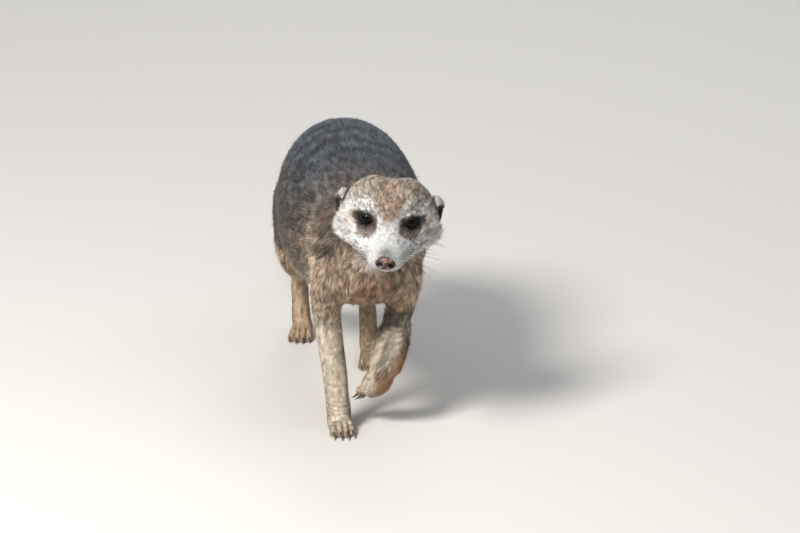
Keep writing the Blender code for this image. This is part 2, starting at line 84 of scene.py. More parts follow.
# The coat on each solid: depth over the skin, length and width of a tuft, how far it lifts in
# degrees, tufts to a square millimetre, and how grizzled it is from 0 to 1.
COAT = {
    "head": (1.6, 3.6, 0.3, 22, 10, 0.5),
    "neck": (2.5, 7, 0.31, 23, 8.8, 0.8),
    "trunk": (2.9, 7.8, 0.32, 21, 6.2, 0.9),
    "tail_base": (2.2, 6.8, 0.34, 22, 7.4, 0.5),
    "tail_middle": (1.7, 5.8, 0.32, 20, 9, 0.35),
    "tail_tip": (1.6, 5.8, 0.32, 20, 10.5, 0.3),
    "foreleg_upper": (1.5, 5, 0.31, 20, 8.4, 0.15),
    "foreleg_lower": (0.7, 3.1, 0.26, 15, 12, 0.05),
    "forepaw": (0.5, 2, 0.24, 21, 16, 0.1),
    "hindleg_thigh": (2.3, 6.6, 0.34, 22, 7, 0.5),
    "hindleg_shank": (1.1, 3.9, 0.29, 17, 10.5, 0.2),
    "hindfoot": (0.5, 1.9, 0.24, 21, 16, 0.15),
}
EAR_COAT = (0.3, 1.8, 0.2, 20, 16, 0.1)
DEPTH, LENGTH, WIDTH, LIFT, DENSITY, GRIZZLE = range(6)

# Pieces of coat: slot, the solids that each covers, and from where to where along the body.
ALL = (-300, 600)
COAT_PIECES = {
    "coat_face": ("face_coat", ("head",), (-300, -35)),
    "coat_crown": ("face_coat", ("head",), (-35, 600)),
    "coat_neck": ("body_coat", ("neck",), ALL),
    "coat_trunk_front": ("body_coat", ("trunk",), (-300, 44)),
    "coat_trunk_middle": ("body_coat", ("trunk",), (44, 86)),
    "coat_trunk_loin": ("body_coat", ("trunk",), (86, 126)),
    "coat_trunk_rump": ("body_coat", ("trunk",), (126, 600)),
    "coat_tail": ("tail_coat", ("tail_base", "tail_middle"), ALL),
    "coat_tail_tip": ("tail_tip_coat", ("tail_tip",), ALL),
    **{f"coat_{leg}": ("leg_coat", nodes, ALL) for leg, nodes in LEGS.items()},
}
MOST_TUFTS = 98000  # in one piece of coat, each of two triangles

# Colours, linear: first those that several markings share.
WHITE = (0.64, 0.635, 0.625)
CREAM = (0.62, 0.54, 0.43)
BUFF = (0.5, 0.38, 0.23)
TAN = (0.4, 0.31, 0.21)
# Painted bounce light from the ground, for the soles of the paws.
SOLE_BOUNCE = (0.42, 0.225, 0.105)
GREY = (0.155, 0.145, 0.135)
BROWN = (0.17, 0.12, 0.085)
DARK = (0.04, 0.031, 0.026)
# Face
MUZZLE_FLECK = (0.36, 0.27, 0.19)
OVER_NOSE = (0.15, 0.152, 0.152)
BROW = (0.44, 0.405, 0.36)
CROWN, CROWN_RUST = (0.29, 0.235, 0.185), (0.31, 0.18, 0.11)
TEMPLE = (0.4, 0.27, 0.17)
PATCH, PATCH_LOW = (0.09, 0.066, 0.05), (0.27, 0.225, 0.19)
EAR_BLACK, EAR_PALE = (0.022, 0.018, 0.016), (0.52, 0.495, 0.46)
LID, IRIS, PUPIL = (0.014, 0.012, 0.011), (0.017, 0.009, 0.005), (0.0015, 0.0015, 0.0015)
EYE_DARK = (0.005, 0.004, 0.004)
# The last of these is painted shade in the nose's hollows.
NOSE_PINK, NOSE_BROWN, NOSTRIL_SHADE = (0.28, 0.155, 0.11), (0.036, 0.021, 0.017), (0.012, 0.008, 0.007)
# Body and legs
# The rump's darker colour is partly the coat's own and partly painted shade.
SHOULDER, RUMP_AND_SHADE = (0.135, 0.101, 0.075), (0.074, 0.057, 0.044)
WARM_LOCK, DULL_LOCK = (0.18, 0.112, 0.066), (0.085, 0.072, 0.061)
# The blue laid on the upper rear back is painted sky-lit shade.
BACK_GREY, BACK_SKY_SHADE = (0.08, 0.078, 0.079), (0.062, 0.079, 0.104)
# The breast's darker rusty middle is partly its own colour and partly painted shade.
BREAST_AND_SHADE, BREAST_SIDE = (0.28, 0.175, 0.112), (0.5, 0.385, 0.275)
BAND_BLACK = (0.03, 0.028, 0.028)
TAIL = (0.38, 0.285, 0.18)
HIND_LEG, THIGH, UPPER_ARM = (0.5, 0.375, 0.25), (0.25, 0.165, 0.105), (0.46, 0.355, 0.25)
# The first of these is painted bounce light from the ground, on the raised forearm's under side.
UNDER_ARM_BOUNCE, TOE_TAN = (0.38, 0.185, 0.085), (0.44, 0.33, 0.22)
CLAW_BLACK, CLAW_TIP = (0.045, 0.032, 0.024), (0.2, 0.15, 0.1)
WHISKER = (0.035, 0.028, 0.024)

BAND = 16.5  # from one dark band of the back to the next
RIPPLE = 2.4  # from one ring of the forelegs' hair to the next
SKIN_VOXEL, EAR_VOXEL = 0.75, 0.32
SKIN_TRIANGLES = 150000
CUT_FILL = 0.35  # how far each solid grows, to close the cuts between them
SKIN_SHADE = 0.8  # how dark the skin is beside the coat's own colours
ROOT_DEPTH = 0.25


# ---- Small tools
def unit(vectors):
    return vectors / np.maximum(np.linalg.norm(vectors, axis=-1, keepdims=True), 1e-9)


def step(low, high, values):
    """0 below low, 1 above high, and a smooth rise between them; low may be the larger."""
    t = np.clip((values - low) / (high - low), 0, 1)
    return t * t * (3 - 2 * t)


def peak(*offsets):
    """1 where every offset is 0, falling to a third where one of them is 1."""
    return np.exp(-sum(offset**2 for offset in offsets))


def mixed(base, *layers):
    """A colour or vector with others laid over it in turn, each by its share at each point."""
    base = np.asarray(base)
    for over, share in layers:
        share = np.asarray(share)[..., None]
        base = base * (1 - share) + np.asarray(over) * share
    return base


def circle(count):
    return np.linspace(0, math.tau, count, endpoint=False)


def random_at(cells, seed):
    """A number from 0 to 1 for each whole-numbered cell, always the same for one cell."""
    cells = cells.astype(np.int64)
    mix = cells[..., 0] * 73856093 ^ cells[..., 1] * 19349663 ^ cells[..., 2] * 83492791
    mix = (mix ^ (seed * 668265263)) & 0xFFFFFFFF
    mix = ((mix ^ (mix >> 15)) * 2246822519) & 0xFFFFFFFF
    mix = ((mix ^ (mix >> 13)) * 3266489917) & 0xFFFFFFFF
    return ((mix ^ (mix >> 16)) & 0xFFFFFF) / 0xFFFFFF


def noise(points, size, seed):
    """Smooth noise from -1 to 1, with features of one size in millimetres."""
    cell = np.floor(points / size)
    t = step(0, 1, points / size - cell)
    total = 0
    for corner in np.ndindex(2, 2, 2):
        weight = np.prod(np.where(corner, t, 1 - t), axis=-1)
        total = total + weight * random_at(cell + corner, seed)
    return total * 2 - 1


def lock_centres(points, size, seed):
    """The nearest of scattered centres, one to a cell, so that near points share a centre."""
    cell = np.floor(points / size)
    best = np.full(len(points), np.inf)
    found = np.zeros_like(points)
    for offset in np.ndindex(3, 3, 3):
        near = cell + offset - 1
        jitter = np.stack([random_at(near, seed + k) for k in range(3)], axis=-1)
        centre = (near + jitter) * size
        distance = ((centre - points) ** 2).sum(axis=-1)
        closer = distance < best
        best[closer] = distance[closer]
        found[closer] = centre[closer]
    return found


def coordinates(mesh):
    co = np.empty(len(mesh.vertices) * 3, np.float32)
    mesh.vertices.foreach_get("co", co)
    return co.reshape(-1, 3).astype(float) / MM


def triangles(mesh):
    mesh.calc_loop_triangles()
    tris = np.empty(len(mesh.loop_triangles) * 3, np.int32)
    mesh.loop_triangles.foreach_get("vertices", tris)
    return tris.reshape(-1, 3)


def edges_of(tris):
    ends = np.sort(np.concatenate([tris[:, [0, 1]], tris[:, [1, 2]], tris[:, [2, 0]]]), axis=1)
    return np.unique(ends, axis=0)


def vertex_normals(points, tris):
    a, b, c = points[tris.T]
    faces = np.cross(b - a, c - a)
    total = [sum(np.bincount(corner, way, len(points)) for corner in tris.T) for way in faces.T]
    return unit(np.stack(total, axis=-1))


def spread(values, edges, rounds):
    """Values averaged with their neighbours' along the mesh, many times over."""
    a, b = edges.T
    size = len(values)
    count = np.maximum(np.bincount(a, minlength=size) + np.bincount(b, minlength=size), 1)
    flat = values.reshape(size, -1)
    for _ in range(rounds):
        around = [np.bincount(a, way[b], size) + np.bincount(b, way[a], size) for way in flat.T]
        flat = (flat + np.stack(around, axis=-1) / count[:, None]) / 2
    return flat.reshape(values.shape)


def joined(shapes):
    """Several shapes, each its points and faces, as one."""
    starts = np.cumsum([0] + [len(points) for points, _ in shapes])
    faces = [faces + start for (_, faces), start in zip(shapes, starts)]
    return np.concatenate([points for points, _ in shapes]), np.concatenate(faces)


def add_object(name, data):
    obj = bpy.data.objects.new(name, data)
    bpy.context.scene.collection.objects.link(obj)
    return obj


def mesh_object(name, points, faces):
    """An object from points in millimetres, and faces with one number of corners."""
    faces = np.asarray(faces, np.int32)
    mesh = bpy.data.meshes.new(name)
    mesh.vertices.add(len(points))
    mesh.vertices.foreach_set("co", (np.asarray(points) * MM).astype(np.float32).ravel())
    mesh.loops.add(faces.size)
    mesh.loops.foreach_set("vertex_index", faces.ravel())
    mesh.polygons.add(len(faces))
    mesh.polygons.foreach_set("loop_start", np.arange(0, faces.size, faces.shape[1], dtype=np.int32))
    mesh.update(calc_edges=True)
    mesh.validate()
    mesh.shade_smooth()
    return add_object(name, mesh)


def bake_modifiers(obj):
    graph = bpy.context.evaluated_depsgraph_get()
    mesh = bpy.data.meshes.new_from_object(obj.evaluated_get(graph), depsgraph=graph)
    obj.modifiers.clear()
    obj.data = mesh


def remesh(obj, voxel):
    """Makes an object one closed surface of small squares."""
    modifier = obj.modifiers.new("one surface", "REMESH")
    modifier.mode = "VOXEL"
    modifier.voxel_size = voxel * MM
    bake_modifiers(obj)


def dress(obj, colours, material, slot, *nodes):
    """Gives a piece its colours, material and body, and hides the solids that it stands for; its slot is
    not used.
    """
    layer = obj.data.color_attributes.new("coat", "FLOAT_COLOR", "POINT")
    rgba = np.ones((len(obj.data.vertices), 4), np.float32)
    rgba[:, :3] = colours
    layer.data.foreach_set("color", rgba.ravel())
    obj.data.materials.append(material)
    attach(obj, "root")
    if nodes:
        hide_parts(*nodes)


# ---- The frame
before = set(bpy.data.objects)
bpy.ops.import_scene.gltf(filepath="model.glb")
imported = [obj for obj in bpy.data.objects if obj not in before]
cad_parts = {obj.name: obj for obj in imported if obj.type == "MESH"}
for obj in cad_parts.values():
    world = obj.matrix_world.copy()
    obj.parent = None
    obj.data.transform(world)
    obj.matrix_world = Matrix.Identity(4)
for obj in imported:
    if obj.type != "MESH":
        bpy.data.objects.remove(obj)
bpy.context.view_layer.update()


def box_of(node):
    return np.array(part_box(node)) / MM


def middle_of(node):
    low, high = box_of(node)
    return (low + high) / 2


def head_turn():
    turn = Matrix.Identity(3)
    for degrees, axis in HEAD_TURNS:
        turn = turn @ Matrix.Rotation(math.radians(degrees), 3, axis)
    return np.array(turn)


TURN = head_turn()
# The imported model's origin is under its middle, so the nose says how far the solids were moved.
MOVED = middle_of("nose") - (TURN @ NOSE_AT + HEAD_AT)
HEAD_ORIGIN = HEAD_AT + MOVED


def to_head(points):
    return (points - HEAD_ORIGIN) @ TURN


def from_head(points):
    return np.asarray(points) @ TURN.T + HEAD_ORIGIN


def head_measures(head):
    """How far points in the head's frame are from its middle plane, along it, and up."""
    return np.abs(head[:, 0]), head[:, 1], head[:, 2]


def paw_frame(paw):
    """(middle, forward, across, sole) of a paw, the last three square to each other."""
    forward = unit(np.array(paw["to"], float))
    sole = np.array(paw["sole"], float)
    sole = unit(sole - forward * sole.dot(forward))
    return np.array(paw["at"], float) + MOVED, forward, np.cross(sole, forward), sole


def on_paw(points, paw):
    """How far points are across a paw, ahead of its middle, and towards its sole."""
    middle, forward, across, sole = paw_frame(paw)
    offset = points - middle
    return offset @ across, offset @ forward, offset @ sole


def welded(node):
    """A solid's points and triangles, with the points that share a place made one."""
    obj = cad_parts[node]
    matrix = np.array(obj.matrix_world)
    points = coordinates(obj.data) @ matrix[:3, :3].T + matrix[:3, 3] / MM
    places = np.round(points * 1000).astype(np.int64)
    _, first, index = np.unique(places, axis=0, return_index=True, return_inverse=True)
    tris = index.reshape(-1)[triangles(obj.data)]
    a, b, c = tris.T
    return points[first], tris[(a != b) & (b != c) & (a != c)]


FLESH = [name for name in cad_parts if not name.startswith(("eye", "ear", "nose"))]
SOLIDS = {name: welded(name) for name in FLESH}


def among(kinds, *names):
    """Which points are on the solids of these names."""
    return np.isin(kinds, [FLESH.index(name) for name in names])


def seam(a, b):
    """The middle of the cut between two solids."""
    points, others = SOLIDS[a][0], SOLIDS[b][0]
    nearest = np.array([((others - p) ** 2).sum(axis=1).min() for p in points])
    return points[nearest < 1].mean(axis=0)


def axes_of_solids():
    """The line along each solid, from the end nearer the head or the trunk to the far end."""
    nape = seam("head", "neck")
    lines = {"head": (from_head(NOSE_AT), nape), "neck": (nape, seam("neck", "trunk"))}
    for chain in CHAINS:
        seams = [seam(a, b) for a, b in zip(chain, chain[1:])]
        last = chain[-1]
        if last in PAWS:
            middle, forward, _, _ = paw_frame(PAWS[last])
            end = middle + forward * (PAWS[last]["size"][0] + TOE)
        else:
            end = middle_of(last)
            end[1] = box_of(last)[1][1]
        lines.update(zip(chain[1:], zip(seams, [*seams[1:], end])))
    return lines


AXES = axes_of_solids()


# ---- Eyes
# How far the lids open from the eye's line, in radians: outwards, towards the nose, and up.
EYE_OUTER, EYE_INNER, EYE_RISE = 0.98, 1.26, 0.6
EYE_TILT = 0.5  # the outer corner sits higher
CORNER = 2.1  # how pointed the corners are


class Eye:
    """Where one eyeball is, which way it looks, and the shape of its lids' opening."""

    def __init__(self, word, side):
        low, high = box_of(f"eye_{word}")
        self.side = side
        self.centre = (low + high) / 2
        self.radius = float((high - low).mean() / 2)
        self.looks = TURN @ unit(np.multiply(EYE_LOOKS, (side, 1, 1)))
        out = TURN @ (side * math.cos(EYE_TILT), 0, math.sin(EYE_TILT))
        self.out = unit(out - self.looks * out.dot(self.looks))
        self.up = np.cross(self.looks, self.out) * side

    def opening(self, offset):
        """1 on the lids' edge, less inside it and more outside it."""
        way = unit(offset)
        ahead = way @ self.looks
        angle = np.arctan2(way @ self.out, ahead)
        across = np.abs(angle) / np.where(angle > 0, EYE_OUTER, EYE_INNER)
        rise = np.abs(np.arctan2(way @ self.up, ahead)) / EYE_RISE
        return np.where(ahead > 0, rise + across**CORNER, 9)

    def edge(self, angles):
        """Unit vectors from the eye's middle to the lids' edge."""
        c = np.cos(angles)
        across = c * np.where(c > 0, EYE_OUTER, EYE_INNER)
        rise = np.sign(np.sin(angles)) * (1 - np.abs(c) ** CORNER) * EYE_RISE
        return unit(self.looks + np.tan(across)[:, None] * self.out + np.tan(rise)[:, None] * self.up)


EYES = {"left": Eye("left", 1), "right": Eye("right", -1)}


def tube(points, radii, sides, closed=False):
    """Points and quads of a tube along a path, with its own radius at each point of the path."""
    points = np.asarray(points, float)
    if closed:
        along = unit(np.roll(points, -1, axis=0) - np.roll(points, 1, axis=0))
    else:
        along = unit(np.gradient(points, axis=0))
    spare = np.where(np.abs(along[:, 2:3]) < 0.9, [[0, 0, 1]], [[1, 0, 0]])
    side = unit(np.cross(along, spare))
    rise = np.cross(side, along)
    turn = circle(sides)[None, :, None]
    rings = side[:, None] * np.cos(turn) + rise[:, None] * np.sin(turn)
    rings = points[:, None] + radii[:, None, None] * rings
    count = len(points)
    i, k = np.meshgrid(np.arange(count if closed else count - 1), np.arange(sides), indexing="ij")
    j, m = (i + 1) % count, (k + 1) % sides
    faces = np.stack([i * sides + m, j * sides + m, j * sides + k, i * sides + k], axis=-1)
    return rings.reshape(-1, 3), faces.reshape(-1, 4)


def sphere(segments=64, rings=40):
    """Points and quads of a unit sphere whose poles are on the second axis."""
    latitudes = np.linspace(0.001, math.pi - 0.001, rings)
    a, b = np.meshgrid(latitudes, circle(segments), indexing="ij")
    points = np.stack([np.sin(a) * np.cos(b), -np.cos(a), np.sin(a) * np.sin(b)], axis=-1)
    i, k = np.meshgrid(np.arange(rings - 1) * segments, np.arange(segments), indexing="ij")
    j, m = i + segments, (k + 1) % segments
    faces = np.stack([j + k, j + m, i + m, i + k], axis=-1)
    return points.reshape(-1, 3), faces.reshape(-1, 4)


def make_eye(word, eye):
    """The eyeball, with a pupil, an iris and a slightly raised cornea."""
    points, faces = sphere()
    # The sphere's second axis becomes the eye's line.  The right eye is the left one mirrored, so
    # its faces are turned round.
    ball = points[:, :1] * eye.out + points[:, 1:2] * -eye.looks + points[:, 2:] * eye.up
    angle = np.arccos(np.clip(ball @ eye.looks, -1, 1))
    bulge = 1 + 0.03 * step(0.9, 0.1, angle)
    place = eye.centre + ball * (eye.radius * bulge)[:, None]
    obj = mesh_object(f"eyeball_{word}", place, faces[:, :: eye.side])
    aside, rise = ball @ eye.out, ball @ eye.up
    fibres = 0.7 + 0.3 * np.sin(np.arctan2(rise, aside) * 38)
    iris = step(0.86, 0.74, angle) * fibres
    pupil = step(0.52, 0.42, np.hypot(aside / 1.2, rise))
    colours = mixed(EYE_DARK, (IRIS, iris), (PUPIL, pupil))
    dress(obj, colours, eye_material(), "eye", f"eye_{word}")


def make_lids(word, eye):
    """The dark bare rim of the lids."""
    angles = circle(72)
    path = eye.centre + eye.edge(angles) * (eye.radius + 0.08)
    rim = tube(path, 0.24 + 0.12 * np.abs(np.sin(angles)), 10, closed=True)
    dress(mesh_object(f"lids_{word}", *rim), LID, skin_material(), "face_coat")


def make_nose():
    """The bare nose pad: two nostrils that curl outwards, and the groove between them."""
    points, faces = sphere(96, 64)
    local = points * (np.array(NOSE_HALF) * (1.22, 1.05, 1))
    across, z = np.abs(local[:, 0]), local[:, 2]
    front = step(0.2, -0.4, points[:, 1])
    nostril = peak((across - 3.1) / 1.6, (z - 0.1) / 1.1)
    slit = peak((across - 4.6) / 1.3, (z + 1 + 0.25 * (across - 4.6)) / 0.6)
    groove = peak(across / 0.35) * step(1.6, -0.4, z)
    wing = peak((across - 3) / 1.5, (z - 1.9) / 0.9)
    local = local + points * (wing * 0.45 * front)[:, None]
    local[:, 1] += (2.6 * nostril + 1.2 * slit + 0.55 * groove) * front
    obj = mesh_object("nose_pad", from_head(local + NOSE_AT), faces)
    mottle = noise(local, 1.5, 51) + 0.8 * step(3, 4.6, across)
    # Painted shade: the nostrils, the slits beside them and the groove between them are darkened as deep
    # hollows.
    hollow_shade = np.clip((2.2 * nostril + 1.8 * slit + 0.8 * groove) * front, 0, 1)
    colours = mixed(NOSE_PINK, (NOSE_BROWN, 0.9 * step(-0.35, 0.2, mottle)), (NOSTRIL_SHADE, hollow_shade))
    dress(obj, colours, leather_material(), "nose_leather", "nose")


# ---- Skin
def without_claws(points, paw):
    """A paw's points with the claws drawn back into the toes."""
    aside, ahead, _ = on_paw(points, paw)
    reach = np.interp(aside / 1.1, TOE_SPREAD, TOE_FORWARD)
    end = paw["size"][0] * TOE_START + TOE + reach + 2
    return points - np.maximum(ahead - end, 0)[:, None] * paw_frame(paw)[1]


def joined_solids():
    """The solids of flesh, grown to close the cuts between them, and a ball in each eye socket."""
    shapes = []
    for name in FLESH:
        points, tris = SOLIDS[name]
        if name in PAWS:
            points = without_claws(points, PAWS[name])
        shapes.append((points + vertex_normals(points, tris) * CUT_FILL, tris))
    ball, quads = sphere(32, 24)
    halves = np.concatenate([quads[:, [0, 1, 2]], quads[:, [0, 2, 3]]])
    shapes += [(eye.centre + ball * (eye.radius + 0.6), halves) for eye in EYES.values()]
    return joined(shapes)


def nearest_solid(points):
    """The index in FLESH of the solid nearest to each point."""
    corners, tris = joined(SOLIDS.values())
    owner = np.repeat(np.arange(len(FLESH)), [len(own) for _, own in SOLIDS.values()])
    tree = BVHTree.FromPolygons(corners.tolist(), tris.tolist())
    return owner[[tree.find_nearest(p)[2] for p in points.tolist()]]


def one_surface():
    """The animal as one closed surface: fine on the head and the paws, coarser elsewhere."""
    body = mesh_object("skin", *joined_solids())
    remesh(body, SKIN_VOXEL)
    fine = among(nearest_solid(coordinates(body.data)), "head", *PAWS)
    coarse = body.vertex_groups.new(name="coarse")
    coarse.add(np.flatnonzero(~fine).tolist(), 1, "REPLACE")
    body.data.calc_loop_triangles()
    fewer = body.modifiers.new("coarser body", "DECIMATE")
    fewer.vertex_group = "coarse"
    fewer.ratio = SKIN_TRIANGLES / len(body.data.loop_triangles)
    fewer.use_collapse_triangulate = True
    bake_modifiers(body)
    return body


class Skin:
    """The skin's points and triangles, with what the coat needs to know at each point."""

    def __init__(self):
        self.object = one_surface()
        self.tris = triangles(self.object.data)
        self.edges = edges_of(self.tris)
        self.points = spread(coordinates(self.object.data), self.edges, 8)
        self.kinds = nearest_solid(self.points)
        rows = [COAT[name.replace("_left", "").replace("_right", "")] for name in FLESH]
        self.coat = spread(np.array(rows)[self.kinds], self.edges, 100)
        self.shape_coat_of_head()
        self.shape_coat_of_body()
        self.sink()
        self.shape_face()
        for eye in EYES.values():
            self.open_eye(eye)
        for paw in PAWS.values():
            self.part_toes(paw)
        self.head = to_head(self.points)
        self.normals = self.outward()
        self.flow = self.lie_of_coat()
        groups = np.array([GROUPS.index(group_of(name)) for name in FLESH])[self.kinds]
        self.parts = spread(np.eye(len(GROUPS))[groups], self.edges, 14)

    def outward(self):
        return vertex_normals(self.points, self.tris)

    def push(self, move):
        """Moves each point outwards by its own distance."""
        self.points = self.points + self.outward() * move[:, None]

    def shape_coat_of_head(self):
        """Short hair on the muzzle and round the eyes, long on the cheeks and the neck."""
        head = to_head(self.points)
        across, along, up = head_measures(head)
        on_head = spread(among(self.kinds, "head").astype(float), self.edges, 30)
        back = step(-26, 14, along)
        cheek = peak((across - 29) / 9, (up + 9) / 9) * step(-10, 6, along)
        under_eye = peak((across - 11) / 6, (along + 6) / 9, (up + 5) / 5)
        crown = step(-2, 8, height_on_face(head)) * step(-12, 0, along)
        face = (
            0.7 + 1.1 * back + 0.5 * cheek,
            1.3 + 1.5 * back + 4.4 * cheek,
            0.2 + 0.07 * back + 0.05 * cheek,
            14 + 7 * back + 22 * cheek + 20 * under_eye,
            18 - 7 * back,
            0.27 + 0.1 * back + 0.5 * crown,
        )
        self.coat = mixed(self.coat, (np.stack(face, axis=-1), on_head))

    def shape_coat_of_body(self):
        """Flatter hair towards the rump, and a fringe on the raised forearm."""
        own = self.points - MOVED
        rear = step(60, 130, own[:, 1]) * among(self.kinds, "trunk")
        shaggy = raised(own)
        fringe = shaggy * step(0.3, -0.5, self.outward()[:, 0])
        self.coat[:, LENGTH] *= 1 - 0.24 * rear + 0.5 * shaggy + 1.5 * fringe
        self.coat[:, LIFT] *= 1 - 0.15 * rear + 0.5 * shaggy + 2 * fringe

    def sink(self, steps=4):
        """Moves the skin in by the coat's depth, except where the animal meets the floor."""
        depth = self.coat[:, DEPTH] * step(0.4, 3.5, self.points[:, 2])
        for _ in range(steps):
            normals = unit(spread(self.outward(), self.edges, 4))
            self.points = self.points - normals * (depth / steps)[:, None]
        self.points = spread(self.points, self.edges, 2)
        self.points[:, 2] = np.maximum(self.points[:, 2], 0)

    def shape_face(self):
        """The mouth's line, the folds beside the nose, and the crown's two domes."""
        head = to_head(self.points)
        across, along, up = head_measures(head)
        move = -0.9 * mouth_line(head)
        move += 0.5 * peak((across - 5.5) / 3, (along + 24) / 4, (up + 15) / 3)
        move += 0.9 * peak((across - 11.5) / 7, (along - 20) / 12, (up - 21) / 9)
        move -= 0.9 * peak(across / 4.5, (along - 22) / 14, (up - 21) / 9)
        self.push(move)

    def open_eye(self, eye):
        """Drapes the skin over the eyeball as lids and sinks it where the eye is open."""
        offset = self.points - eye.centre
        distance = np.linalg.norm(offset, axis=1)
        near = distance < eye.radius + 5
        inside = eye.opening(offset[near])
        lid = eye.radius + 0.25 + 0.5 * step(1, 2.2, inside)
        drape = step(2.5, 1.25, inside)
        wanted = np.where(inside < 1, eye.radius - 0.9, lid)
        wanted = distance[near] * (1 - drape) + wanted * drape
        self.points[near] = eye.centre + offset[near] * (wanted / distance[near])[:, None]

    def part_toes(self, paw):
        """Sinks a groove between each two toes and swells each toe behind its claw."""
        aside, ahead, below = on_paw(self.points, paw)
        length, _, height = paw["size"]
        near = (np.abs(aside) < 12) & (np.abs(below) < 10) & (ahead > 0) & (ahead < length + TOE + 4)
        toes = step(0, 5, ahead - length * TOE_START) * step(0.9, 0.3, below / height)
        groove = sum(peak((aside - gap) / 0.75) for gap in TOE_GAPS)
        swell = sum(peak((aside - toe * TOE_FAN) / 1.1) for toe in TOE_SPREAD)
        self.push(toes * (0.25 * swell - 1.3 * groove) * near)

    def lie_of_coat(self):
        """The way the hair points at each place on the skin."""
        lines = np.array([AXES[name][1] - AXES[name][0] for name in FLESH])
        flow = unit(lines)[self.kinds]
        on_body = among(self.kinds, "trunk", "neck")
        side = 1 - np.abs(self.normals[:, 2])
        flow = flow + np.outer(on_body * side, (0, 0, -0.45))
        chest = step(20, -10, self.points[:, 1] - MOVED[1]) * on_body
        flow = flow + np.outer(chest, (0, 0.1, -1.1))
        flow = mixed(flow, ((0, 0.3, -1), step(0.35, 0.8, self.normals[:, 1]) * on_body))
        on_head = among(self.kinds, "head")
        flow[on_head] = self.lie_on_head()[on_head]
        flow = unit(spread(flow, self.edges, 25))
        flow = flow - self.normals * (flow * self.normals).sum(axis=1, keepdims=True)
        return unit(spread(unit(flow), self.edges, 6))

    def lie_on_head(self):
        """Back from the nose, fanning out over the cheeks and up over the brow."""
        head = self.head
        away = unit(head - (0, -33, -14))
        flow = mixed(away, ((0, 1, -0.12), step(-12, 14, head[:, 1])))
        cheek = step(-4, -14, head[:, 2]) * step(-10, 6, head[:, 1])
        outward = np.where(head[:, :1] < 0, (-0.35, 0, -0.35), (0.35, 0, -0.35))
        return unit(flow + cheek[:, None] * outward) @ TURN.T


# ---- Markings, with some painted shade and bounce light, the same on skin and coat
def height_on_face(head):
    """How high a place on the face looks from in front and a little above."""
    return 0.42 * head[:, 1] + 0.91 * head[:, 2]


def mouth_line(head):
    """1 along the lips and the cleft under the nose, falling to 0 a millimetre away."""
    across, along, up = head_measures(head)
    level = -17.6 - 3.2 * step(0, 12, across) + 0.8 * peak(across / 1.6)
    lips = peak((up - level) / 0.55) * step(-9, -13, along)
    cleft = peak(across / 0.45) * step(-18.2, -17.4, up) * step(-14, -16, up)
    return np.maximum(lips, cleft * step(-22, -26, along))


def eye_patch(head):
    """The dark patch round each eye, drawn up towards the ear and down beside the nose."""
    across = np.abs(head[:, 0])
    height = height_on_face(head) + 0.8 * noise(head, 2.2, 11)
    ring = np.hypot((across - 13.3) / 7.4, (height + 1.4) / 8.6)
    tail = np.hypot((across - 18) / 5, (height - 0.35 * (across - 18) - 2.6) / 3.8)
    patch = np.maximum(step(1.15, 0.6, ring), 0.8 * step(1.15, 0.7, tail))
    return patch * step(22, 16, head[:, 1])


def face_colours(points, normals):
    """White, with a grizzled crown, a brown bridge, dark eye patches and dark lips."""
    head = to_head(points)
    across, along, up = head_measures(head)
    height = height_on_face(head)
    chin = step(-16, -23, up)
    behind = step(10, 24, along + 0.35 * (across - 24)) * step(18, 26, across)
    brow = step(-14, -4, along)
    bridge = peak(across / 5) * step(4, -4, along) * step(-14, -8, up)
    flecks = (0.15 + 0.4 * step(0.1, 0.7, noise(head, 1.1, 14))) * bridge * brow
    above_nose = peak(across / 5, (along + 25.5) / 4.5) * step(-15, -11, up)
    line = -2.5 + 17 * (1 - peak(across / 8.5))
    ragged = height - line + 1.2 * noise(head, 6, 3) + 2.2 * noise(head, 1.3, 27)
    crown = step(-4.5, 6, ragged) * brow
    middle = peak(across / 9) * step(30, 8, along)
    temple = peak((across - 23) / 4.5, (height - 2) / 6)
    low = step(-1.5, -8, height) * (0.65 + 0.35 * noise(head, 1.2, 13))
    patch = step(0, 0.76, eye_patch(head) + 0.32 * noise(head, 1.4, 19))
    rim = np.hypot((across - 14.2) / 5.3, (height - 0.35 * (across - 14.2) - 1.3) / 4.2)
    return mixed(
        WHITE,
        (CREAM, 0.45 * chin),
        (TAN, 0.6 * behind),
        (MUZZLE_FLECK, flecks),
        (OVER_NOSE, 0.9 * above_nose),
        (BROW, 0.45 * step(1, 8, height) * brow),
        (CROWN, 0.9 * crown),
        (CROWN_RUST, 0.4 * crown * middle),
        (GREY, 0.35 * step(12, 34, along) * crown),
        (TEMPLE, 0.55 * temple),
        (mixed(PATCH, (PATCH_LOW, low)), patch),
        (LID, step(1.35, 0.8, rim + 0.2 * noise(head, 1.6, 12))),
        (DARK, 0.6 * mouth_line(head)),
    )


